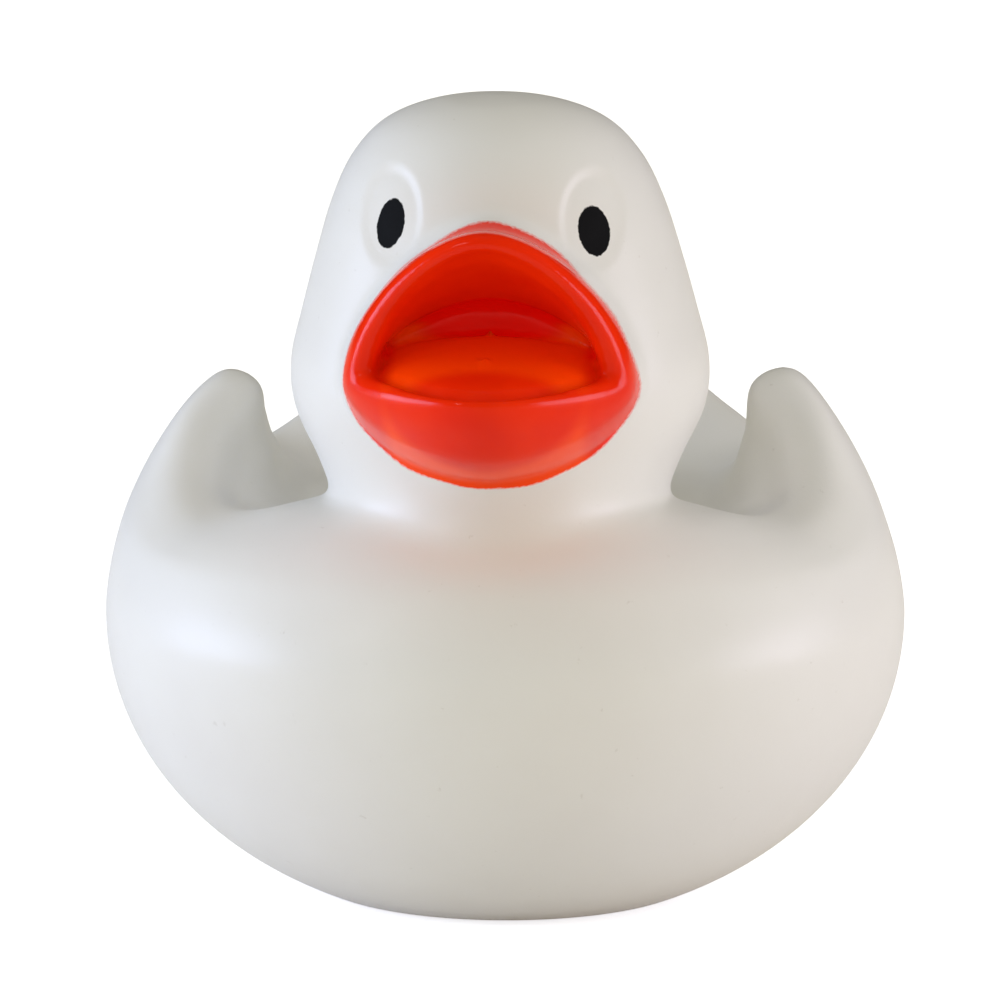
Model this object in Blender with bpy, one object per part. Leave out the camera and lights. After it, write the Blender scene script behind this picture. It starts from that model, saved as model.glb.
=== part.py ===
"""Rubber duck: a hollow soft-vinyl bath duck with a squeaker in its base.

The duck is one moulding. It faces -Y and stands with its flat base on z = 0.
Every size below is in millimetres, and "ahead" is the distance in front of the
widest part of its body, along -Y.
"""

import math

import bmesh
import bpy
from mathutils import Vector

MM = 0.001
WALL = 2.0  # of the moulded skin
FORWARD = 4.55  # brings the middle of the whole length over the origin

# Hull: a bowl that is an oval at every height up to its waist.
WAIST = 28.0
BOWL_DEPTH = 31.0  # below the waist, before the flat base cuts it off
BOWL_POWER = 2.05
HALF_WIDTH = 39.5
REACH_AHEAD = 36.5
REACH_BEHIND = 42.0

# Above the waist each side of the duck is one column of this table: the way it
# looks, in degrees from the side (90 is ahead), then the distance out and the
# height of the shoulder, the rim's outer edge, the rim, the rim's inner edge, the
# face inside it and the foot of that face. The rim is the chest at 90, a wing's tip
# at -14, the notch behind it at -37 and the tail's tip at -90.
COLUMNS = [
    (90.0, 34.2, 35.0, 31.6, 38.4, 28.4, 40.4, 25.4, 41.6, 21.0, 42.2, 15.0, 42.4),
    (62.0, 34.6, 35.0, 32.0, 38.2, 29.0, 40.1, 25.8, 41.3, 21.4, 41.9, 15.5, 42.2),
    (38.0, 36.0, 34.8, 33.6, 37.4, 30.6, 39.0, 27.4, 40.2, 23.0, 41.1, 17.0, 41.8),
    (22.0, 37.3, 34.8, 35.2, 37.2, 32.4, 38.6, 29.4, 39.0, 25.0, 39.5, 18.5, 40.4),
    (9.0, 38.1, 36.0, 35.6, 39.6, 32.6, 41.6, 29.2, 41.0, 26.0, 38.6, 19.5, 37.4),
    (-3.0, 37.4, 38.2, 34.6, 43.8, 31.6, 46.7, 28.0, 45.4, 25.4, 41.0, 20.0, 37.0),
    (-14.0, 36.6, 40.2, 33.0, 47.2, 29.6, 49.8, 25.8, 48.4, 24.7, 43.4, 20.5, 37.2),
    (-24.0, 37.2, 39.2, 33.8, 46.0, 31.0, 48.8, 27.6, 47.6, 26.2, 42.8, 21.0, 38.0),
    (-37.0, 39.0, 35.8, 36.6, 39.0, 33.8, 41.0, 31.0, 40.6, 27.6, 39.6, 21.5, 38.4),
    (-55.0, 41.0, 35.8, 39.8, 40.0, 37.4, 42.6, 34.6, 42.4, 30.0, 41.0, 22.0, 38.8),
    (-75.0, 44.0, 37.8, 45.2, 44.8, 43.4, 47.2, 40.4, 46.6, 34.5, 43.6, 22.0, 38.4),
    (-90.0, 45.0, 39.0, 47.6, 47.8, 46.4, 50.4, 43.6, 49.8, 38.0, 46.0, 22.0, 38.2),
]
# The share of the way up the hull's skin at which each of those points lies.
BASE_SHARE, WAIST_SHARE = 0.08, 0.40
COLUMN_SHARES = (0.50, 0.59, 0.66, 0.73, 0.82, 0.92, 0.97, 1.0)
LEFT_WING_RAISE = 1.0  # the duck's left wing, at +X, stands this much higher
LEFT_WING_DRAW = 1.0  # and curls this much further in

# Neck and head: height, half width, reach ahead and reach behind, from HEAD_AHEAD.
HEAD_AHEAD = 8.0
HEAD_ROWS = [
    (26.0, 0.0, 0.0, 0.0),
    (30.0, 15.0, 20.0, 12.0),
    (37.0, 17.6, 23.4, 15.5),
    (41.0, 16.5, 21.4, 15.2),
    (45.0, 17.7, 20.5, 16.6),
    (50.0, 20.0, 20.4, 19.0),
    (54.6, 20.4, 20.4, 20.0),
    (59.6, 19.25, 19.8, 19.8),
    (65.0, 17.8, 18.4, 18.6),
    (70.2, 16.2, 16.7, 17.0),
    (74.6, 14.1, 14.3, 14.6),
    (78.0, 10.8, 10.7, 10.9),
    (79.9, 5.8, 5.8, 5.8),
    (80.4, 0.0, 0.0, 0.0),
]
HEAD_LEAN = -0.4  # how far the crown leans to the duck's right

# Bill and mouth: each row is one closed curve, the bill from its root to its lip, as half
# width, ahead and height at the corners, ahead and height at the top, ahead and
# height at the bottom. The mouth's rows run from its open end back to the throat:
# lip, groove, edge of the tongue, tongue, throat.
BILL_ROWS = [
    (0.0, 8.0, 56.1, 8.0, 56.1, 8.0, 56.1),
    (11.0, 12.0, 55.2, 14.0, 67.5, 16.0, 48.1),
    (14.4, 20.5, 54.6, 23.0, 70.9, 26.5, 45.7),
    (14.3, 25.0, 55.1, 28.0, 70.4, 33.5, 48.5),
    (13.8, 27.2, 55.5, 31.6, 70.9, 37.0, 51.9),
    (12.7, 28.5, 56.0, 33.5, 70.6, 38.6, 54.7),
    (11.0, 28.6, 56.6, 33.4, 68.6, 38.0, 56.2),
    (5.0, 28.6, 59.0, 31.0, 65.0, 34.0, 57.5),
    (0.0, 28.6, 60.9, 28.6, 60.9, 28.6, 60.9),
]
MOUTH_ROWS = [
    (0.0, 50.0, 61.9, 50.0, 61.9, 50.0, 61.9),
    (14.0, 46.0, 57.1, 50.0, 74.2, 50.0, 56.9),
    (12.8, 33.0, 56.6, 38.0, 71.2, 41.5, 56.6),
    (11.5, 28.8, 56.3, 33.4, 69.5, 37.9, 55.7),
    (10.9, 27.0, 56.3, 31.0, 67.8, 36.5, 55.1),
    (10.7, 26.4, 56.4, 29.4, 66.9, 35.7, 55.9),
    (10.8, 25.6, 56.5, 26.6, 65.2, 31.5, 57.3),
    (11.0, 24.8, 56.7, 24.0, 63.7, 26.0, 58.4),
    (10.8, 24.0, 57.0, 22.4, 62.8, 22.4, 59.0),
    (10.0, 21.5, 57.8, 18.8, 63.0, 19.6, 58.0),
    (8.0, 18.6, 58.8, 16.8, 62.0, 17.0, 58.8),
    (0.0, 16.2, 60.5, 16.2, 60.5, 16.2, 60.5),
]
BILL_UPPER_POWER = (1.75, 1.6)  # across and up
BILL_LOWER_POWER = (1.85, 1.8)

# Eye recesses, cut by oval balls: out from the middle, ahead and height of each ball.
EYE = (10.5, 21.3, 71.7)
EYE_SIZE = (3.9, 1.6, 6.4)
EYE_TURN = 40.0  # degrees that each looks away from straight ahead
EYE_PITCH = 26.0  # degrees that each looks up

# Squeaker, in a stepped hole of the base.
SQUEAKER_AHEAD = -1.5
HOLE_RADIUS = 6.3
RECESS_RADIUS = 8.1
RECESS_DEPTH = 1.2
FLANGE_RADIUS = 7.8
FLANGE_HEIGHT = 0.9
BARREL_RADIUS = 6.0
BARREL_HEIGHT = 10.0
BARREL_BORE = 4.6
SNAP_RADIUS = 6.9
AIR_RADIUS = 1.8
SEAT_RADIUS = 4.3
FIT = 0.3


def clear_scene():
    for thing in list(bpy.data.objects):
        bpy.data.objects.remove(thing, do_unlink=True)


def material(name, colour, roughness):
    made = bpy.data.materials.new(name)
    made.use_nodes = True
    shader = made.node_tree.nodes["Principled BSDF"]
    shader.inputs["Base Color"].default_value = (*colour, 1.0)
    shader.inputs["Roughness"].default_value = roughness
    shader.inputs["Metallic"].default_value = 0.0
    made.diffuse_color = (*colour, 1.0)
    return made


def blend(before, start, end, after, t):
    """A row between start and end, on a smooth curve that also heeds their neighbours."""
    return [
        0.5 * (2 * b + (c - a) * t + (2 * a - 5 * b + 4 * c - d) * t * t + (3 * b - a - 3 * c + d) * t ** 3)
        for a, b, c, d in zip(before, start, end, after)
    ]


def along_rows(rows, share):
    """The row at this share of the way along, on a smooth curve through all rows."""
    at = share * (len(rows) - 1)
    i = min(int(at), len(rows) - 2)
    t = at - i
    return blend(rows[max(i - 1, 0)], rows[i], rows[i + 1], rows[min(i + 2, len(rows) - 1)], t)


def rounded(value, power):
    """A cosine or sine bent so that two of them draw a superellipse."""
    return math.copysign(abs(value) ** (2.0 / power), value)


def lobe(name, around, along, place):
    """A closed skin, from a sphere whose points go to place(turn, share of the way up)."""
    bm = bmesh.new()
    bmesh.ops.create_uvsphere(bm, u_segments=around, v_segments=along, radius=1.0)
    for v in bm.verts:
        share = math.acos(max(-1.0, min(1.0, -v.co.z))) / math.pi
        x, ahead, z = place(math.atan2(v.co.y, v.co.x), share)
        v.co = Vector((x, -ahead - FORWARD, z))
    return finish(name, bm)


def finish(name, bm):
    """Faces a skin outwards, brings it from millimetres to metres and makes its object."""
    bm.normal_update()
    bmesh.ops.recalc_face_normals(bm, faces=bm.faces)
    bmesh.ops.scale(bm, vec=(MM, MM, MM), verts=bm.verts)
    mesh = bpy.data.meshes.new(name)
    bm.to_mesh(mesh)
    bm.free()
    made = bpy.data.objects.new(name, mesh)
    bpy.context.scene.collection.objects.link(made)
    return made


def helper(made):
    """Keeps a solid that only a Boolean reads out of the result."""
    made.hide_render = True
    made.display_type = "WIRE"
    return made


def join(target, other, operation):
    boolean = target.modifiers.new(operation.lower() + " " + other.name, "BOOLEAN")
    boolean.operation = operation
    boolean.solver = "EXACT"
    boolean.object = other
    helper(other)


def column(way, inset):
    """The upper profile on one side, as (distance out, height) points from the shoulder."""
    k = next(i for i in range(1, len(COLUMNS)) if way >= COLUMNS[i][0])
    before = COLUMNS[k - 2 if k > 1 else 1]  # past either end, the other side's column
    after = COLUMNS[k + 1 if k + 1 < len(COLUMNS) else k - 1]
    t = (COLUMNS[k - 1][0] - way) / (COLUMNS[k - 1][0] - COLUMNS[k][0])
    row = blend(before, COLUMNS[k - 1], COLUMNS[k], after, t)
    return [
        (row[1] - inset, row[2]),
        (row[3] - 0.8 * inset, row[4] - 0.5 * inset),
        (row[5], row[6] - 1.4 * inset),
        (row[7] + 0.8 * inset, row[8] - 1.2 * inset),
        (row[9] + 0.9 * inset, row[10] - 0.6 * inset),
        (row[11], row[12] - inset),
        (8.0, row[12] + 0.3 - inset),
        (0.0, 41.0 - inset),
    ]


def hull_place(inset):
    """Places a point of the hull, drawn in by this much all round."""
    floor_angle = math.asin(WAIST / BOWL_DEPTH)

    def bowl(way, angle):
        """The distance out and the height at this angle below the waist."""
        reach = REACH_AHEAD if way > 0 else REACH_BEHIND
        side, ahead = math.cos(way) / (HALF_WIDTH - inset), math.sin(way) / (reach - inset)
        shrink = (1.0 - math.sin(angle) ** BOWL_POWER) ** (1.0 / BOWL_POWER)
        return shrink / math.hypot(side, ahead), WAIST - math.sin(angle) * BOWL_DEPTH * (1.0 - inset / WAIST)

    def place(turn, share):
        if share < BASE_SHARE:
            out, z = bowl(turn, floor_angle)
            out *= share / BASE_SHARE
        elif share < WAIST_SHARE:
            out, z = bowl(turn, floor_angle * (WAIST_SHARE - share) / (WAIST_SHARE - BASE_SHARE))
        else:
            way = math.degrees(math.atan2(math.sin(turn), abs(math.cos(turn))))
            points = [bowl(turn, 0.28), bowl(turn, 0.0)] + column(way, inset)
            shares = (WAIST_SHARE,) + COLUMN_SHARES
            k = next(i for i in range(1, len(shares)) if share <= shares[i] + 1e-9)
            t = (share - shares[k - 1]) / (shares[k] - shares[k - 1])
            out, z = blend(points[k - 1], points[k], points[k + 1], points[min(k + 2, len(points) - 1)], t)
            if math.cos(turn) > 0:
                share_of_wing = math.exp(-((way + 10.0) / 20.0) ** 2) * max(0.0, min(1.0, (z - 34.0) / 12.0))
                out, z = out - LEFT_WING_DRAW * share_of_wing, z + LEFT_WING_RAISE * share_of_wing
        return out * math.cos(turn), out * math.sin(turn), z

    return place


def head_place(inset):
    def place(turn, share):
        z, wide, ahead, behind = along_rows(HEAD_ROWS, share)
        reach = ahead if math.sin(turn) > 0 else behind
        wide, reach = max(wide - inset, 0.0), max(reach - inset, 0.0)
        if z > 50.0:
            z -= inset * min(1.0, (z - 50.0) / 32.0)
        lean = HEAD_LEAN * max(0.0, (z - 55.0) / 25.0) ** 1.5
        return wide * math.cos(turn) + lean, HEAD_AHEAD + reach * math.sin(turn), z

    return place


def bill_place(rows):
    def place(turn, share):
        half, side_ahead, side_z, top_ahead, top_z, low_ahead, low_z = along_rows(rows, share)
        up = math.sin(turn)
        across_power, up_power = BILL_UPPER_POWER if up > 0 else BILL_LOWER_POWER
        x = half * rounded(math.cos(turn), across_power)
        reach = abs(rounded(up, up_power))
        end_ahead, end_z = (top_ahead, top_z) if up > 0 else (low_ahead, low_z)
        bend = math.sin(turn) ** 2
        return x, side_ahead + (end_ahead - side_ahead) * bend, side_z + (end_z - side_z) * reach

    return place


def fatten(made, by):
    """Moves each point of a helper out along its normal."""
    bm = bmesh.new()
    bm.from_mesh(made.data)
    bm.normal_update()
    for v in bm.verts:
        v.co += v.normal * by * MM
    bm.to_mesh(made.data)
    bm.free()


def eye_recess(name, side):
    """An oval ball that dents the skin under a printed pupil."""
    out, ahead, z = EYE
    half_width, half_depth, half_height = EYE_SIZE
    turn, pitch = math.radians(EYE_TURN) * side, math.radians(EYE_PITCH)

    def place(around, share):
        spread = math.sin(math.pi * share)
        x = half_width * spread * math.cos(around)
        y = half_depth * spread * math.sin(around)
        up = half_height * -math.cos(math.pi * share)
        y, up = y * math.cos(pitch) - up * math.sin(pitch), up * math.cos(pitch) + y * math.sin(pitch)
        x, y = x * math.cos(turn) + y * math.sin(turn), y * math.cos(turn) - x * math.sin(turn)
        return side * out + x, ahead + y, z + up

    return lobe(name, 18, 10, place)


def turned(name, profile, segments=32):
    """A solid of revolution about the squeaker's axis, from (radius, height) corners."""
    bm = bmesh.new()
    corners = [bm.verts.new((radius, 0.0, height)) for radius, height in profile]
    edges = [bm.edges.new((a, b)) for a, b in zip(corners, corners[1:] + corners[:1])]
    bmesh.ops.spin(
        bm, geom=corners + edges, cent=(0, 0, 0), axis=(0, 0, 1), angle=math.tau,
        steps=segments, use_merge=True, use_duplicate=False,
    )
    bmesh.ops.remove_doubles(bm, verts=bm.verts, dist=0.001)
    made = finish(name, bm)
    made.location = (0.0, (-SQUEAKER_AHEAD - FORWARD) * MM, 0.0)
    return made


def plug(name, radius, low, high, segments=32):
    """A plain round cutter on the squeaker's axis."""
    bm = bmesh.new()
    bmesh.ops.create_cone(
        bm, cap_ends=True, segments=segments, radius1=radius, radius2=radius, depth=high - low,
    )
    made = finish(name, bm)
    made.location = (0.0, (-SQUEAKER_AHEAD - FORWARD) * MM, (low + high) / 2 * MM)
    return made


def block(name, size, height):
    """A box on the squeaker's axis, centred at this height."""
    bm = bmesh.new()
    bmesh.ops.create_cube(bm, size=1.0)
    bmesh.ops.scale(bm, vec=size, verts=bm.verts)
    made = finish(name, bm)
    made.location = (0.0, (-SQUEAKER_AHEAD - FORWARD) * MM, height * MM)
    return made


def make_body(vinyl):
    body = lobe("duck_body", 60, 38, hull_place(0.0))
    join(body, lobe("head_form", 36, 28, head_place(0.0)), "UNION")
    join(body, lobe("bill_form", 40, 20, bill_place(BILL_ROWS)), "UNION")
    join(body, lobe("mouth_cut", 40, 30, bill_place(MOUTH_ROWS)), "DIFFERENCE")
    join(body, eye_recess("eye_cut_right", -1), "DIFFERENCE")
    join(body, eye_recess("eye_cut_left", 1), "DIFFERENCE")
    join(body, make_cavity(), "DIFFERENCE")
    join(body, plug("base_hole", HOLE_RADIUS, -1.0, WALL + 2.0), "DIFFERENCE")
    join(body, plug("flange_recess", RECESS_RADIUS, -1.0, RECESS_DEPTH), "DIFFERENCE")
    dress(body, vinyl)
    return body


def make_cavity():
    """The hollow inside: it follows the skin a wall's thickness in, and goes round the mouth."""
    cavity = lobe("cavity", 40, 26, hull_place(WALL))
    join(cavity, lobe("head_hollow", 24, 18, head_place(WALL)), "UNION")
    keep = lobe("mouth_skin", 24, 20, bill_place(MOUTH_ROWS))
    fatten(keep, WALL)
    join(cavity, keep, "DIFFERENCE")
    return cavity


def make_squeaker(plastic, reed_plastic):
    top = FLANGE_HEIGHT + BARREL_HEIGHT
    shelf = top - 3.4
    housing = turned("squeaker_housing", [
        (AIR_RADIUS, 0.2), (FLANGE_RADIUS - 0.4, 0.2), (FLANGE_RADIUS, 0.5), (FLANGE_RADIUS, FLANGE_HEIGHT),
        (BARREL_RADIUS, FLANGE_HEIGHT), (BARREL_RADIUS, WALL + 0.4), (SNAP_RADIUS, WALL + 1.2),
        (BARREL_RADIUS, WALL + 2.4), (BARREL_RADIUS, top), (BARREL_BORE, top), (BARREL_BORE, shelf),
        (BARREL_BORE - 1.0, shelf), (BARREL_BORE - 1.0, 2.2), (AIR_RADIUS, 2.2),
    ])
    dress(housing, plastic)
    seat = turned("squeaker_seat", [
        (0.0, shelf + FIT), (SEAT_RADIUS, shelf + FIT), (SEAT_RADIUS, top - 0.8), (0.0, top - 0.8),
    ])
    slot = block("seat_slot", (2.2, 5.2, 8.0), top - 2.0)
    join(seat, slot, "DIFFERENCE")
    dress(seat, plastic)
    reed = block("squeaker_reed", (3.2, 6.4, 0.35), top - 0.8 + FIT + 0.175)
    dress(reed, reed_plastic)


def dress(made, skin):
    made.data.materials.append(skin)
    for face in made.data.polygons:
        face.use_smooth = True
    made.data.set_sharp_from_angle(angle=math.radians(40))


clear_scene()
make_body(material("soft_vinyl", (0.86, 0.85, 0.82), 0.5))
make_squeaker(
    material("hard_plastic", (0.8, 0.8, 0.78), 0.4),
    material("reed_plastic", (0.75, 0.76, 0.72), 0.35),
)
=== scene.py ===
import math

import bmesh
import bpy
from mathutils import Matrix, Vector


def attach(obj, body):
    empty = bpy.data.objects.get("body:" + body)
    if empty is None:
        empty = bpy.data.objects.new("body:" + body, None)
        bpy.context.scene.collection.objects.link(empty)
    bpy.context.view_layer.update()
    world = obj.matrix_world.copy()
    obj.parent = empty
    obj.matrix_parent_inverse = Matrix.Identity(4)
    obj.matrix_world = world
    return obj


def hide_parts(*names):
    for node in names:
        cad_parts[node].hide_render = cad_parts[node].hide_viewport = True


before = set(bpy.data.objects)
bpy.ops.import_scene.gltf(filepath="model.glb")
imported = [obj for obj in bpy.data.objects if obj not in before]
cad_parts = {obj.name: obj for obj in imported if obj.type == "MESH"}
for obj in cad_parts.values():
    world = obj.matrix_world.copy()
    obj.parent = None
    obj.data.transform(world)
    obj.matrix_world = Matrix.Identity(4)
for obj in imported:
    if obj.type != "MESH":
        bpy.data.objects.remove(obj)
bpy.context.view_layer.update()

# ---------------------------------------------------------------------------
# Duck skin. Hollow rotocast soft vinyl in one piece: body, head, wings, tail and
# open bill come out of one mould. The bill is sprayed with gloss lacquer through a
# mask, and a black pupil is pad-printed in each shallow eye recess.
# ---------------------------------------------------------------------------
MM = 0.001
FORWARD = 4.55  # from the widest part of the body to the middle of the length

WAIST = 28.0
BOWL_DEPTH = 31.0
BOWL_POWER = 2.05
HALF_WIDTH = 39.5
REACH_AHEAD = 36.5
REACH_BEHIND = 42.0

# One row for each way out from the middle, in degrees from the side (90 is ahead):
# the distance out and the height of shoulder, outer rim, rim, inner rim, face, foot.
COLUMNS = [
    (90.0, 34.2, 35.0, 31.6, 38.4, 28.4, 40.4, 25.4, 41.6, 21.0, 42.2, 15.0, 42.4),
    (62.0, 34.6, 35.0, 32.0, 38.2, 29.0, 40.1, 25.8, 41.3, 21.4, 41.9, 15.5, 42.2),
    (38.0, 36.0, 34.8, 33.6, 37.4, 30.6, 39.0, 27.4, 40.2, 23.0, 41.1, 17.0, 41.8),
    (22.0, 37.3, 34.8, 35.2, 37.2, 32.4, 38.6, 29.4, 39.0, 25.0, 39.5, 18.5, 40.4),
    (9.0, 38.1, 36.0, 35.6, 39.6, 32.6, 41.6, 29.2, 41.0, 26.0, 38.6, 19.5, 37.4),
    (-3.0, 37.4, 38.2, 34.6, 43.8, 31.6, 46.7, 28.0, 45.4, 25.4, 41.0, 20.0, 37.0),
    (-14.0, 36.6, 40.2, 33.0, 47.2, 29.6, 49.8, 25.8, 48.4, 24.7, 43.4, 20.5, 37.2),
    (-24.0, 37.2, 39.2, 33.8, 46.0, 31.0, 48.8, 27.6, 47.6, 26.2, 42.8, 21.0, 38.0),
    (-37.0, 39.0, 35.8, 36.6, 39.0, 33.8, 41.0, 31.0, 40.6, 27.6, 39.6, 21.5, 38.4),
    (-55.0, 41.0, 35.8, 39.8, 40.0, 37.4, 42.6, 34.6, 42.4, 30.0, 41.0, 22.0, 38.8),
    (-75.0, 44.0, 37.8, 45.2, 44.8, 43.4, 47.2, 40.4, 46.6, 34.5, 43.6, 22.0, 38.4),
    (-90.0, 45.0, 39.0, 47.6, 47.8, 46.4, 50.4, 43.6, 49.8, 38.0, 46.0, 22.0, 38.2),
]
BASE_SHARE, WAIST_SHARE = 0.08, 0.40
COLUMN_SHARES = (0.50, 0.59, 0.66, 0.73, 0.82, 0.92, 0.97, 1.0)
LEFT_WING_RAISE, LEFT_WING_DRAW = 1.0, 1.0

HEAD_AHEAD = 8.0
HEAD_LEAN = -0.4
HEAD_ROWS = [
    (26.0, 0.0, 0.0, 0.0),
    (30.0, 15.0, 20.0, 12.0),
    (37.0, 17.6, 23.4, 15.5),
    (41.0, 16.5, 21.4, 15.2),
    (45.0, 17.7, 20.5, 16.6),
    (50.0, 20.0, 20.4, 19.0),
    (54.6, 20.4, 20.4, 20.0),
    (59.6, 19.25, 19.8, 19.8),
    (65.0, 17.8, 18.4, 18.6),
    (70.2, 16.2, 16.7, 17.0),
    (74.6, 14.1, 14.3, 14.6),
    (78.0, 10.8, 10.7, 10.9),
    (79.9, 5.8, 5.8, 5.8),
    (80.4, 0.0, 0.0, 0.0),
]

# Closed curves of the bill from its root to its lip: half width, ahead and height at
# the corners, ahead and height at the top, ahead and height at the bottom. The mouth's
# run from the open end back to the throat: lip, groove, edge of the tongue, tongue.
BILL_ROWS = [
    (0.0, 8.0, 56.1, 8.0, 56.1, 8.0, 56.1),
    (11.0, 12.0, 55.2, 14.0, 67.5, 16.0, 48.1),
    (14.4, 20.5, 54.6, 23.0, 70.9, 26.5, 45.7),
    (14.3, 25.0, 55.1, 28.0, 70.4, 33.5, 48.5),
    (13.8, 27.2, 55.5, 31.6, 70.9, 37.0, 51.9),
    (12.7, 28.5, 56.0, 33.5, 70.6, 38.6, 54.7),
    (11.0, 28.6, 56.6, 33.4, 68.6, 38.0, 56.2),
    (5.0, 28.6, 59.0, 31.0, 65.0, 34.0, 57.5),
    (0.0, 28.6, 60.9, 28.6, 60.9, 28.6, 60.9),
]
MOUTH_ROWS = [
    (0.0, 50.0, 61.9, 50.0, 61.9, 50.0, 61.9),
    (13.1, 46.0, 57.3, 50.0, 74.0, 50.0, 57.1),
    (12.0, 33.0, 56.8, 38.0, 71.0, 41.5, 56.8),
    (11.1, 28.8, 56.4, 33.4, 69.3, 38.0, 55.6),
    (10.8, 27.4, 56.3, 31.6, 68.0, 36.5, 54.9),
    (10.6, 26.4, 56.5, 29.4, 66.8, 35.8, 56.3),
    (10.6, 25.6, 56.6, 26.6, 65.2, 31.5, 57.6),
    (10.7, 24.8, 56.8, 24.0, 63.7, 26.0, 58.6),
    (10.5, 24.0, 57.1, 22.4, 62.8, 22.4, 59.2),
    (9.8, 23.0, 57.8, 21.4, 62.5, 21.6, 58.9),
    (6.0, 21.8, 59.2, 20.8, 61.6, 21.0, 59.6),
    (0.0, 20.8, 60.5, 20.8, 60.5, 20.8, 60.5),
]
BILL_UPPER_POWER = (1.75, 1.6)
BILL_LOWER_POWER = (1.85, 1.8)

SKIN_GRID = 0.32 * MM
SKIN_TRIANGLES = 180000
WALL = 2.0

# The spray mask and the pad printer come at the face from the front, tilted down.
MASK_TILT = math.radians(11.0)
MASK_MIDDLE = (0.1, 48.4)
MASK_HALF_WIDTH, MASK_ABOVE, MASK_BELOW = 14.2, 15.25, 10.2
MASK_UPPER_POWER, MASK_LOWER_POWER = (1.7, 1.55), (1.8, 1.8)
EYES = [  # middle of the recess, then middle, half width and half height of the pupil
    (-9.7, 64.4, -9.7, 63.6, 1.38, 2.46),
    (9.7, 64.3, 9.8, 63.1, 1.47, 2.46),
]
EYE_HALF_WIDTH, EYE_HALF_HEIGHT, EYE_DEPTH = 3.1, 5.15, 0.42
PUPIL_LEAN = math.radians(9.0)
TONGUE_RIDGE, RIDGE_HALF_WIDTH, RIDGE_ASIDE = 0.7, 0.32, -0.1
FOLD_HEIGHT = 41.0
PAINT_SOFTNESS, PAINT_FRAY = 0.13, 0.05
INK_SOFTNESS, INK_FRAY = 0.04, 0.04


def blend(before, start, end, after, t):
    """A row between start and end, on a smooth curve that also heeds their neighbours."""
    return [
        0.5 * (2 * b + (c - a) * t + (2 * a - 5 * b + 4 * c - d) * t * t + (3 * b - a - 3 * c + d) * t ** 3)
        for a, b, c, d in zip(before, start, end, after)
    ]


def along_rows(rows, share):
    """The row at this share of the way along, on a smooth curve through all rows."""
    at = share * (len(rows) - 1)
    i = min(int(at), len(rows) - 2)
    return blend(rows[max(i - 1, 0)], rows[i], rows[i + 1], rows[min(i + 2, len(rows) - 1)], at - i)


def rounded(value, power):
    return math.copysign(abs(value) ** (2.0 / power), value)


def smooth_step(low, high, value):
    t = max(0.0, min(1.0, (value - low) / (high - low)))
    return t * t * (3.0 - 2.0 * t)


def lobe(name, around, along, place):
    """A closed form: a sphere whose points go to place(turn, share of the way up)."""
    bm = bmesh.new()
    bmesh.ops.create_uvsphere(bm, u_segments=around, v_segments=along, radius=1.0)
    for v in bm.verts:
        share = math.acos(max(-1.0, min(1.0, -v.co.z))) / math.pi
        x, ahead, z = place(math.atan2(v.co.y, v.co.x), share)
        v.co = Vector((x, -ahead - FORWARD, z))
    bm.normal_update()
    bmesh.ops.recalc_face_normals(bm, faces=bm.faces)
    bmesh.ops.scale(bm, vec=(MM, MM, MM), verts=bm.verts)
    return as_object(name, bm)


def as_object(name, bm):
    mesh = bpy.data.meshes.new(name)
    bm.to_mesh(mesh)
    bm.free()
    made = bpy.data.objects.new(name, mesh)
    bpy.context.scene.collection.objects.link(made)
    return made


def settle(made):
    """Turns an object's modifiers into its mesh."""
    graph = bpy.context.evaluated_depsgraph_get()
    mesh = bpy.data.meshes.new_from_object(made.evaluated_get(graph))
    made.modifiers.clear()
    old, made.data = made.data, mesh
    bpy.data.meshes.remove(old)


def column(way, inset):
    """The upper profile on one side, as (distance out, height) points from the shoulder."""
    k = next(i for i in range(1, len(COLUMNS)) if way >= COLUMNS[i][0])
    before = COLUMNS[k - 2 if k > 1 else 1]  # past either end, the other side's column
    after = COLUMNS[k + 1 if k + 1 < len(COLUMNS) else k - 1]
    t = (COLUMNS[k - 1][0] - way) / (COLUMNS[k - 1][0] - COLUMNS[k][0])
    row = blend(before, COLUMNS[k - 1], COLUMNS[k], after, t)
    return [
        (row[1] - inset, row[2]),
        (row[3] - 0.8 * inset, row[4] - 0.5 * inset),
        (row[5], row[6] - 1.4 * inset),
        (row[7] + 0.8 * inset, row[8] - 1.2 * inset),
        (row[9] + 0.9 * inset, row[10] - 0.6 * inset),
        (row[11], row[12] - inset),
        (8.0, row[12] + 0.3 - inset),
        (0.0, 41.0 - inset),
    ]


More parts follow.
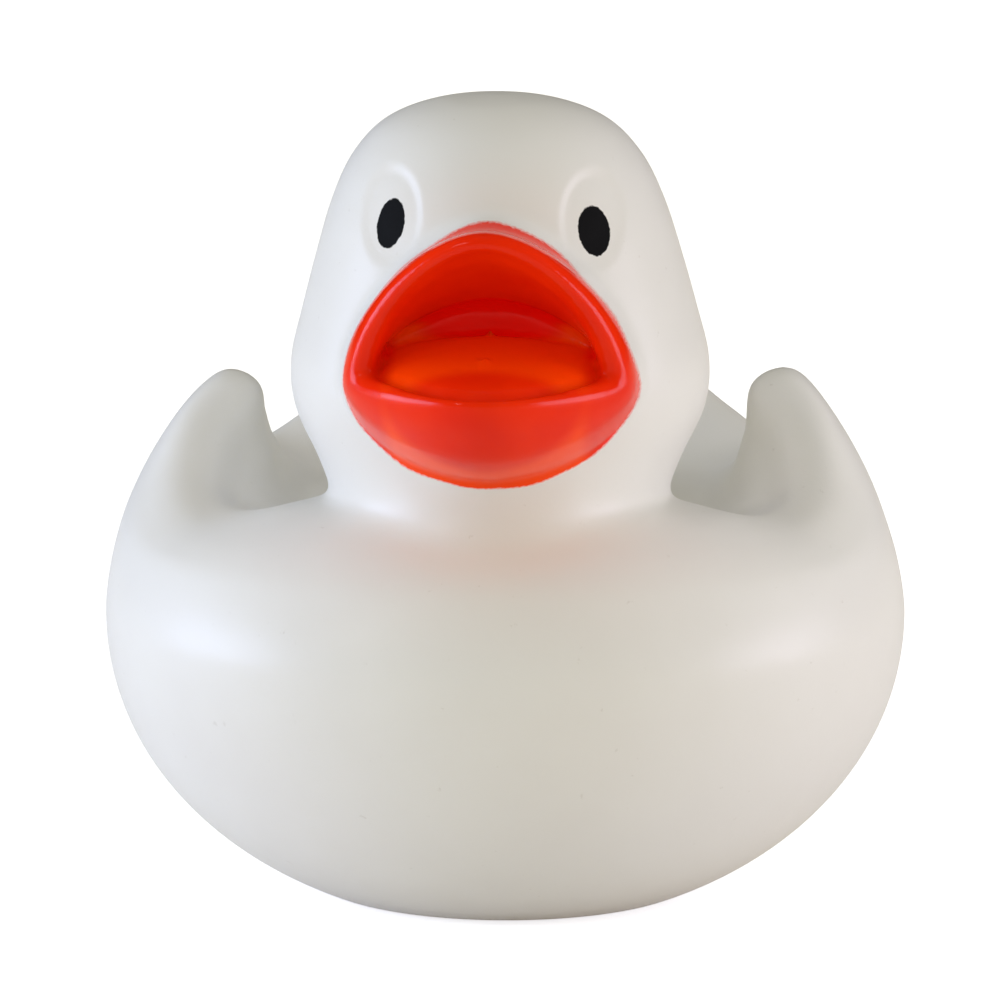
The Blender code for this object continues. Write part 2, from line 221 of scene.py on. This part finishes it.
def hull_place(inset):
    """Places a point of the hull, drawn in by this much all round."""
    floor_angle = math.asin(WAIST / BOWL_DEPTH)

    def bowl(way, angle):
        reach = REACH_AHEAD if way > 0 else REACH_BEHIND
        side, ahead = math.cos(way) / (HALF_WIDTH - inset), math.sin(way) / (reach - inset)
        shrink = (1.0 - math.sin(angle) ** BOWL_POWER) ** (1.0 / BOWL_POWER)
        return shrink / math.hypot(side, ahead), WAIST - math.sin(angle) * BOWL_DEPTH * (1.0 - inset / WAIST)

    def place(turn, share):
        if share < BASE_SHARE:
            out, z = bowl(turn, floor_angle)
            out *= share / BASE_SHARE
        elif share < WAIST_SHARE:
            out, z = bowl(turn, floor_angle * (WAIST_SHARE - share) / (WAIST_SHARE - BASE_SHARE))
        else:
            way = math.degrees(math.atan2(math.sin(turn), abs(math.cos(turn))))
            points = [bowl(turn, 0.28), bowl(turn, 0.0)] + column(way, inset)
            shares = (WAIST_SHARE,) + COLUMN_SHARES
            k = next(i for i in range(1, len(shares)) if share <= shares[i] + 1e-9)
            t = (share - shares[k - 1]) / (shares[k] - shares[k - 1])
            out, z = blend(points[k - 1], points[k], points[k + 1], points[min(k + 2, len(points) - 1)], t)
            if math.cos(turn) > 0:
                on_wing = math.exp(-((way + 10.0) / 20.0) ** 2) * max(0.0, min(1.0, (z - 34.0) / 12.0))
                out, z = out - LEFT_WING_DRAW * on_wing, z + LEFT_WING_RAISE * on_wing
        return out * math.cos(turn), out * math.sin(turn), z

    return place


def head_place(inset):
    def place(turn, share):
        z, wide, ahead, behind = along_rows(HEAD_ROWS, share)
        reach = ahead if math.sin(turn) > 0 else behind
        wide, reach = max(wide - inset, 0.0), max(reach - inset, 0.0)
        if z > 50.0:
            z -= inset * min(1.0, (z - 50.0) / 32.0)
        lean = HEAD_LEAN * max(0.0, (z - 55.0) / 25.0) ** 1.5
        return wide * math.cos(turn) + lean, HEAD_AHEAD + reach * math.sin(turn), z

    return place


def bill_point(rows):
    def place(turn, share):
        half, side_ahead, side_z, top_ahead, top_z, low_ahead, low_z = along_rows(rows, share)
        up = math.sin(turn)
        across_power, up_power = BILL_UPPER_POWER if up > 0 else BILL_LOWER_POWER
        reach = abs(rounded(up, up_power))
        end_ahead, end_z = (top_ahead, top_z) if up > 0 else (low_ahead, low_z)
        x = half * rounded(math.cos(turn), across_power)
        return x, side_ahead + (end_ahead - side_ahead) * up * up, side_z + (end_z - side_z) * reach

    return place


def join(target, other, operation, solver="EXACT"):
    boolean = target.modifiers.new(operation.lower(), "BOOLEAN")
    boolean.operation, boolean.solver, boolean.object = operation, solver, other
    settle(target)
    bpy.data.objects.remove(other, do_unlink=True)


skin = lobe("duck_skin", 176, 120, hull_place(0.0))
join(skin, lobe("head", 128, 104, head_place(0.0)), "UNION")
join(skin, lobe("bill", 144, 80, bill_point(BILL_ROWS)), "UNION")
join(skin, lobe("mouth", 144, 132, bill_point(MOUTH_ROWS)), "DIFFERENCE")

remesh = skin.modifiers.new("even grid", "REMESH")
remesh.mode, remesh.voxel_size = "VOXEL", SKIN_GRID
settle(skin)


def duck_place(co):
    """Where a point is on the duck, in millimetres: x, ahead of the widest part, height."""
    return co.x / MM, -co.y / MM - FORWARD, co.z / MM


def soften(made, weight, factor, rounds):
    """Smooths the skin as much as weight(x, ahead, z) says at each point."""
    group = made.vertex_groups.new(name="soften")
    for v in made.data.vertices:
        share = weight(*duck_place(v.co))
        if share > 0.01:
            group.add([v.index], min(share, 1.0), "REPLACE")
    smooth = made.modifiers.new("soften", "SMOOTH")
    smooth.factor, smooth.iterations, smooth.vertex_group = factor, rounds, group.name
    settle(made)
    made.vertex_groups.clear()


def near_fold(x, ahead, z):
    """The fold round the neck, wide and soft in front, tight at the sides."""
    front = smooth_step(10.0, 24.0, ahead)
    band = math.exp(-((z - FOLD_HEIGHT) / (2.0 + 3.6 * front)) ** 2)
    return band * smooth_step(36.0, 31.0, math.hypot(x, ahead)) * (0.22 + 0.78 * front)


def off_lips(x, ahead, z):
    return 1.0 - 0.55 * smooth_step(16.0, 24.0, ahead) * smooth_step(43.0, 46.0, z)


def mask_height(ahead, z):
    return z * math.cos(MASK_TILT) - (ahead + FORWARD) * math.sin(MASK_TILT)


def paint_inside(x, ahead, z):
    """Millimetres inside the sprayed edge of the bill; less than nothing is bare vinyl."""
    if ahead < 12.0 or z < 40.0:
        return -5.0
    across, up = x - MASK_MIDDLE[0], mask_height(ahead, z) - MASK_MIDDLE[1]
    upper = up > 0.0
    wide_power, high_power = MASK_UPPER_POWER if upper else MASK_LOWER_POWER
    high = abs(up) / (MASK_ABOVE if upper else MASK_BELOW)
    edge = (abs(across) / MASK_HALF_WIDTH) ** wide_power + high ** high_power
    around = math.atan2(up, across)
    wander = 0.10 * math.sin(5.0 * around + 0.6) + 0.07 * math.sin(11.0 * around + 2.0)
    return (1.0 - edge ** 0.6) * 13.0 + wander


def bill_root(x, ahead, z):
    """The foot of the bill, where it flows out of the head."""
    inside = paint_inside(x, ahead, z)
    return math.exp(-(inside / 3.0) ** 2) * smooth_step(1.4, -0.4, inside) if inside > -4.9 else 0.0


soften(skin, lambda x, ahead, z: 1.0, 0.5, 4)
soften(skin, off_lips, 0.5, 14)
soften(skin, near_fold, 0.5, 220)
soften(skin, bill_root, 0.5, 50)


def eye_dish(x, up, eye):
    """How deep the shallow eye recess is here: crisp above and inside, faint below."""
    across, high = (x - eye[0]) / EYE_HALF_WIDTH, (up - eye[1]) / EYE_HALF_HEIGHT
    out = math.hypot(across, high)
    if out > 1.2:
        return 0.0
    inward = -across if eye[0] > 0 else across
    crisp = max(0.35, min(1.0, 0.5 + 0.6 * (0.8 * high + 0.5 * inward) / max(out, 0.2)))
    sharp = 1.0 - smooth_step(0.76, 1.06, out)
    faint = 1.0 - smooth_step(0.35, 1.15, out)
    return EYE_DEPTH * (crisp * sharp + (1.0 - crisp) * faint)


mesh = skin.data
normals = [v.normal.copy() for v in mesh.vertices]
for v, normal in zip(mesh.vertices, normals):
    x, ahead, z = duck_place(v.co)
    if ahead > 16.0 and z > 58.0 and normal.y < 0.0:
        up = mask_height(ahead, z)
        v.co -= normal * sum(eye_dish(x, up, eye) for eye in EYES) * MM
    elif 21.0 < ahead < 33.0 and 56.0 < z < 60.0 and normal.z > 0.3 and abs(x) < 3.0:
        along = smooth_step(21.0, 23.0, ahead) * smooth_step(32.0, 27.0, ahead)
        ridge = math.exp(-(((x - RIDGE_ASIDE) / RIDGE_HALF_WIDTH) ** 2)) * along
        v.co += normal * TONGUE_RIDGE * ridge * MM

thin = skin.modifiers.new("fewer triangles", "DECIMATE")
thin.ratio = SKIN_TRIANGLES / (2.0 * len(mesh.polygons))
settle(skin)

# The hollow inside follows the skin a wall's thickness in, and goes round the mouth.
SQUEAKER_AHEAD = -1.5
HOLE_RADIUS, HOLE_HEIGHT = 6.3, 4.0
RECESS_RADIUS, RECESS_DEPTH = 8.1, 1.2
BELOW_BASE = 1.0  # how far the cutters start under the base
MOUTH_CLEARANCE = 1.6  # walls of clearance between the mouth and the hollow

hollow = lobe("hollow", 72, 48, hull_place(WALL))
join(hollow, lobe("head_hollow", 40, 32, head_place(WALL)), "UNION")
mouth_skin = lobe("mouth_skin", 64, 60, bill_point(MOUTH_ROWS))
normals = [v.normal.copy() for v in mouth_skin.data.vertices]
for v, normal in zip(mouth_skin.data.vertices, normals):
    v.co += normal * MOUTH_CLEARANCE * WALL * MM
join(hollow, mouth_skin, "DIFFERENCE")
join(skin, hollow, "DIFFERENCE", "MANIFOLD")


def base_cut(name, radius, height):
    bm = bmesh.new()
    depth = (height + BELOW_BASE) * MM
    bmesh.ops.create_cone(
        bm, cap_ends=True, segments=64, radius1=radius * MM, radius2=radius * MM, depth=depth
    )
    middle = Vector((0.0, -SQUEAKER_AHEAD - FORWARD, (height - BELOW_BASE) / 2.0)) * MM
    bmesh.ops.translate(bm, vec=middle, verts=bm.verts)
    return as_object(name, bm)


join(skin, base_cut("base_hole", HOLE_RADIUS, HOLE_HEIGHT), "DIFFERENCE", "MANIFOLD")
join(skin, base_cut("flange_recess", RECESS_RADIUS, RECESS_DEPTH), "DIFFERENCE", "MANIFOLD")

mesh = skin.data
for face in mesh.polygons:
    face.use_smooth = True
mesh.set_sharp_from_angle(angle=math.radians(40.0))
for edge in mesh.edges:  # the only sharp edges are those of the hole in the base
    if max(mesh.vertices[k].co.z for k in edge.vertices) > 5.0 * MM:
        edge.use_edge_sharp = False


def ink_inside(x, ahead, z):
    """Millimetres inside the edge of the nearer printed pupil."""
    if ahead < 12.0 or z < 60.0:
        return -5.0
    best = -5.0
    for eye in EYES:
        across, high = x - eye[2], mask_height(ahead, z) - eye[3]
        lean = PUPIL_LEAN if eye[0] < 0 else -PUPIL_LEAN
        along = high * math.cos(lean) + across * math.sin(lean)
        aside = across * math.cos(lean) - high * math.sin(lean)
        best = max(best, (1.0 - math.hypot(aside / eye[4], along / eye[5])) * 1.8)
    return best


def on_tongue(x, ahead, z):
    """One on the tongue, where the lacquer is painted a lighter orange as painted light for the light
    falling on its upturned face, and nothing off it.
    """
    if not 21.5 < ahead < 36.5 or abs(x) > 12.0:
        return 0.0
    top = 59.6 - 0.26 * (ahead - 22.0)
    middle = smooth_step(10.4, 8.6, abs(x)) * smooth_step(33.5, 31.0, ahead)
    return middle * smooth_step(21.5, 22.3, ahead) * smooth_step(top + 1.2, top + 0.4, z)


def in_throat(x, ahead, z):
    """One on the throat's wall, where the lacquer is painted a brighter, purer red as painted light that
    lifts the shade of the recess and stands for red light bounced inside the mouth, and nothing off it.
    """
    if not 19.0 < ahead < 26.5 or abs(x) > 12.0:
        return 0.0
    arch = 62.9 - 0.048 * x * x
    under_arch = smooth_step(arch + 0.3, arch - 0.3, z) * smooth_step(26.0, 24.4, ahead)
    return under_arch * (1.0 - on_tongue(x, ahead, z))


throat_painted_light = mesh.attributes.new("throat_painted_light", "FLOAT", "POINT")
tongue_painted_light = mesh.attributes.new("tongue_painted_light", "FLOAT", "POINT")
paint = mesh.attributes.new("bill_paint", "FLOAT", "POINT")
ink = mesh.attributes.new("pupil_ink", "FLOAT", "POINT")
for v in mesh.vertices:
    place = duck_place(v.co)
    paint.data[v.index].value = paint_inside(*place)
    ink.data[v.index].value = ink_inside(*place)
    tongue_painted_light.data[v.index].value = on_tongue(*place)
    throat_painted_light.data[v.index].value = in_throat(*place)


def node(tree, kind, **inputs):
    made = tree.nodes.new(kind)
    for name, value in inputs.items():
        made.inputs[name.replace("_", " ")].default_value = value
    return made


def spread(tree, scale, detail=2.0, roughness=0.5):
    noise = node(tree, "ShaderNodeTexNoise", Scale=scale, Detail=detail, Roughness=roughness)
    tree.links.new(tree.nodes.new("ShaderNodeTexCoord").outputs["Object"], noise.inputs["Vector"])
    return noise.outputs["Fac"]


def between(tree, value, low, high, start=0.0, end=1.0):
    ramp = node(tree, "ShaderNodeMapRange", From_Min=low, From_Max=high, To_Min=start, To_Max=end)
    tree.links.new(value, ramp.inputs["Value"])
    return ramp.outputs["Result"]


def sums(tree, operation, first, second):
    made = tree.nodes.new("ShaderNodeMath")
    made.operation = operation
    for socket, value in zip(made.inputs, (first, second)):
        if isinstance(value, float):
            socket.default_value = value
        else:
            tree.links.new(value, socket)
    return made.outputs[0]


def mix(tree, kind, share, first, second):
    made = tree.nodes.new("ShaderNodeMix")
    made.data_type = kind
    for socket, value in zip([k for k in made.inputs if k.enabled], (share, first, second)):
        if isinstance(value, (float, tuple)):
            socket.default_value = value
        else:
            tree.links.new(value, socket)
    return next(k for k in made.outputs if k.enabled)


def grain_group():
    """The fine grain that a mould leaves, as a height for a bump."""
    made = bpy.data.node_groups.new("moulded_grain", "ShaderNodeTree")
    for name, value in (("Scale", 2000.0), ("Depth", 0.5)):
        made.interface.new_socket(name, in_out="INPUT", socket_type="NodeSocketFloat").default_value = value
    made.interface.new_socket("Height", in_out="OUTPUT", socket_type="NodeSocketFloat")
    given, out = made.nodes.new("NodeGroupInput"), made.nodes.new("NodeGroupOutput")
    height = spread(made, 2000.0)
    made.links.new(given.outputs["Scale"], height.node.inputs["Scale"])
    made.links.new(sums(made, "MULTIPLY", height, given.outputs["Depth"]), out.inputs["Height"])
    return made


moulded_grain = grain_group()


def grain(tree, scale, depth):
    made = tree.nodes.new("ShaderNodeGroup")
    made.node_tree = moulded_grain
    made.inputs["Scale"].default_value, made.inputs["Depth"].default_value = scale, depth
    return made.outputs["Height"]


def bumped(tree, height, strength, distance):
    bump = node(tree, "ShaderNodeBump", Strength=strength, Distance=distance)
    tree.links.new(height, bump.inputs["Height"])
    tree.links.new(bump.outputs["Normal"], tree.nodes["Principled BSDF"].inputs["Normal"])


def field(tree, name):
    made = tree.nodes.new("ShaderNodeAttribute")
    made.attribute_name = name
    return made.outputs["Fac"]


def vinyl_material():
    """Satin white vinyl, with gloss lacquer inside the mask's edge, painted light on the lacquer of the
    tongue and throat, and matt ink in the pupils.
    """
    made = bpy.data.materials.new("soft_vinyl")
    made.use_nodes = True
    tree = made.node_tree
    link = tree.links.new
    shader = tree.nodes["Principled BSDF"]

    def inside(name, fray, softness):
        ragged = between(tree, spread(tree, 2600.0, 1.0), 0.3, 0.7, -fray, fray)
        return between(tree, sums(tree, "ADD", field(tree, name), ragged), -softness, softness)

    lacquer = inside("bill_paint", PAINT_FRAY, PAINT_SOFTNESS)
    printed = inside("pupil_ink", INK_FRAY, INK_SOFTNESS)

    cast = between(tree, spread(tree, 38.0, 3.0), 0.3, 0.7)
    vinyl = mix(tree, "RGBA", cast, (0.80, 0.795, 0.77, 1.0), (0.76, 0.75, 0.725, 1.0))
    speck = between(tree, spread(tree, 900.0, 3.0, 0.6), 0.70, 0.76)
    vinyl = mix(tree, "RGBA", sums(tree, "MULTIPLY", speck, 0.25), vinyl, (0.5, 0.47, 0.42, 1.0))
    mottle = between(tree, spread(tree, 160.0, 2.0), 0.3, 0.7)
    lacquer_and_painted_light = mix(tree, "RGBA", mottle, (0.88, 0.026, 0.001, 1.0), (0.82, 0.018, 0.001, 1.0))
    # Painted light: the tongue's lacquer is painted a lighter orange, for the overhead light on its upturned
    # face.
    lacquer_and_painted_light = mix(tree, "RGBA", field(tree, "tongue_painted_light"), lacquer_and_painted_light, (1.0, 0.060, 0.001, 1.0))
    # Painted light: the throat's wall is painted a brighter, purer red, lifting the shade of the recess and
    # standing for red light bounced inside the mouth.
    lacquer_and_painted_light = mix(tree, "RGBA", field(tree, "throat_painted_light"), lacquer_and_painted_light, (1.0, 0.006, 0.001, 1.0))
    colour = mix(tree, "RGBA", lacquer, vinyl, lacquer_and_painted_light)
    link(mix(tree, "RGBA", printed, colour, (0.004, 0.004, 0.004, 1.0)), shader.inputs["Base Color"])

    satin = between(tree, spread(tree, 420.0, 2.0), 0.3, 0.7, 0.44, 0.54)
    gloss = between(tree, spread(tree, 300.0, 2.0), 0.3, 0.7, 0.14, 0.22)
    rough = mix(tree, "FLOAT", lacquer, satin, gloss)
    link(mix(tree, "FLOAT", printed, rough, 0.7), shader.inputs["Roughness"])
    coat = mix(tree, "FLOAT", lacquer, 0.55, 0.0)
    link(mix(tree, "FLOAT", printed, coat, 0.0), shader.inputs["Coat Weight"])
    shader.inputs["Specular IOR Level"].default_value = 0.16
    shader.inputs["Coat Roughness"].default_value = 0.36

    fine = sums(tree, "MULTIPLY", spread(tree, 3200.0, 1.0), 0.35)
    peel = sums(tree, "ADD", fine, sums(tree, "MULTIPLY", spread(tree, 420.0, 1.0), 0.5))
    bumped(tree, mix(tree, "FLOAT", lacquer, grain(tree, 2300.0, 0.5), peel), 0.3, 0.00006)
    return made


mesh.materials.clear()
mesh.materials.append(vinyl_material())
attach(skin, "root")
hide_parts("duck_body")

# ---------------------------------------------------------------------------
# Squeaker housing. Injection-moulded hard plastic: a barrel pushed into the hole of
# the base, held by its snap ring and by the flange that sits in the recess.
# ---------------------------------------------------------------------------


def plastic_material(name, clean, worn, low_rough, high_rough, grain_depth):
    """Moulded plastic: a slight cloudiness in the colour, flow marks in the gloss, fine grain."""
    made = bpy.data.materials.new(name)
    made.use_nodes = True
    tree = made.node_tree
    shader = tree.nodes["Principled BSDF"]
    cloud = between(tree, spread(tree, 140.0, 3.0), 0.35, 0.65)
    tree.links.new(mix(tree, "RGBA", cloud, clean, worn), shader.inputs["Base Color"])
    flow = between(tree, spread(tree, 420.0, 2.0), 0.3, 0.7, low_rough, high_rough)
    tree.links.new(flow, shader.inputs["Roughness"])
    bumped(tree, grain(tree, 3000.0, grain_depth), 0.3, 0.00004)
    return made


hard_plastic = plastic_material(
    "hard_plastic", (0.80, 0.80, 0.77, 1.0), (0.76, 0.755, 0.72, 1.0), 0.28, 0.40, 0.6
)
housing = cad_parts["squeaker_housing"]
housing.data.materials.clear()
housing.data.materials.append(hard_plastic)

# ---------------------------------------------------------------------------
# Squeaker seat. A plug of the same hard plastic, pressed into the top of the barrel;
# its slot is the opening that the reed covers.
# ---------------------------------------------------------------------------
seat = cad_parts["squeaker_seat"]
seat.data.materials.clear()
seat.data.materials.append(hard_plastic)

# ---------------------------------------------------------------------------
# Squeaker reed. A strip of thin milky plastic that lies over the slot of the seat and
# buzzes when air is pushed past it.
# ---------------------------------------------------------------------------
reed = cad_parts["squeaker_reed"]
reed.data.materials.clear()
reed.data.materials.append(
    plastic_material("reed_plastic", (0.74, 0.75, 0.71, 1.0), (0.70, 0.71, 0.68, 1.0), 0.22, 0.32, 0.3)
)

# ---------------------------------------------------------------------------
# Floor, lights and camera. A pale table in front of a white wall, with a low
# softbox at each side, a wide one overhead and a narrow window strip at the front.
# ---------------------------------------------------------------------------
bm = bmesh.new()
bmesh.ops.create_grid(bm, x_segments=2, y_segments=2, size=2.0)
floor = as_object("floor", bm)

pale = bpy.data.materials.new("pale_table")
pale.use_nodes = True
tree = pale.node_tree
shader = tree.nodes["Principled BSDF"]
shader.inputs["Base Color"].default_value = (0.86, 0.86, 0.86, 1.0)
shader.inputs["Roughness"].default_value = 0.7
shader.inputs["Emission Color"].default_value = (1.0, 0.73, 0.45, 1.0)
shader.inputs["Emission Strength"].default_value = 0.062
glow = node(tree, "ShaderNodeEmission", Color=(0.9, 0.93, 1.0, 1.0), Strength=0.68)
brighter = tree.nodes.new("ShaderNodeAddShader")
seen = tree.nodes.new("ShaderNodeMixShader")
tree.links.new(shader.outputs[0], brighter.inputs[0])
tree.links.new(glow.outputs[0], brighter.inputs[1])
tree.links.new(tree.nodes.new("ShaderNodeLightPath").outputs["Is Camera Ray"], seen.inputs[0])
tree.links.new(shader.outputs[0], seen.inputs[1])
tree.links.new(brighter.outputs[0], seen.inputs[2])
tree.links.new(seen.outputs[0], tree.nodes["Material Output"].inputs["Surface"])
floor.data.materials.append(pale)


def softbox(name, azimuth, elevation, distance, width, height, power, colour):
    light = bpy.data.lights.new(name, "AREA")
    light.shape, light.size, light.size_y = "RECTANGLE", width, height
    light.energy, light.color = power, colour
    made = bpy.data.objects.new(name, light)
    bpy.context.scene.collection.objects.link(made)
    a, e = math.radians(azimuth), math.radians(elevation)
    out = Vector((math.sin(a) * math.cos(e), -math.cos(a) * math.cos(e), math.sin(e)))
    made.location = Vector((0.0, 0.0, 0.04)) + out * distance
    made.rotation_euler = out.to_track_quat("Z", "Y").to_euler()
    return made


softbox("cool_softbox", -80, 4, 0.5, 0.3, 0.2, 1.74, (0.57, 0.68, 1.0))
softbox("warm_softbox", 80, 4, 0.5, 0.3, 0.2, 1.10, (0.86, 0.81, 1.0))
softbox("window_strip", -40, 26, 0.6, 0.03, 0.12, 0.20, (1.0, 0.97, 0.93))
overhead = softbox("overhead_softbox", 0, 82, 0.6, 0.5, 0.5, 0.42, (0.02, 0.13, 1.0))
overhead.visible_glossy = False

world = bpy.data.worlds.new("white_room")
world.use_nodes = True
tree = world.node_tree
room = tree.nodes["Background"]
room.inputs["Color"].default_value = (0.66, 0.63, 0.46, 1.0)
wall = node(tree, "ShaderNodeBackground", Color=(1.0, 1.0, 1.0, 1.0), Strength=1.0)
light_path = tree.nodes.new("ShaderNodeLightPath")
seen = tree.nodes.new("ShaderNodeMixShader")
tree.links.new(light_path.outputs["Is Camera Ray"], seen.inputs[0])
tree.links.new(room.outputs[0], seen.inputs[1])
tree.links.new(wall.outputs[0], seen.inputs[2])
tree.links.new(seen.outputs[0], tree.nodes["World Output"].inputs["Surface"])
world.cycles_visibility.glossy = False
bpy.context.scene.world = world
bpy.context.scene.view_settings.view_transform = "Standard"

camera_data = bpy.data.cameras.new("camera")
camera_data.lens, camera_data.sensor_width = 324.0, 36.0
camera = bpy.data.objects.new("camera", camera_data)
bpy.context.scene.collection.objects.link(camera)
a, e = math.radians(3.5), math.radians(11.0)
back = Vector((math.sin(a) * math.cos(e), -math.cos(a) * math.cos(e), math.sin(e)))
right = Vector((math.cos(a), math.sin(a), 0.0))
up = back.cross(right)
target = (up * 37.25 - right * 0.78) * MM
camera.location = target + back * 0.9
camera.rotation_euler = Matrix((right, up, back)).transposed().to_euler()
bpy.context.scene.camera = camera
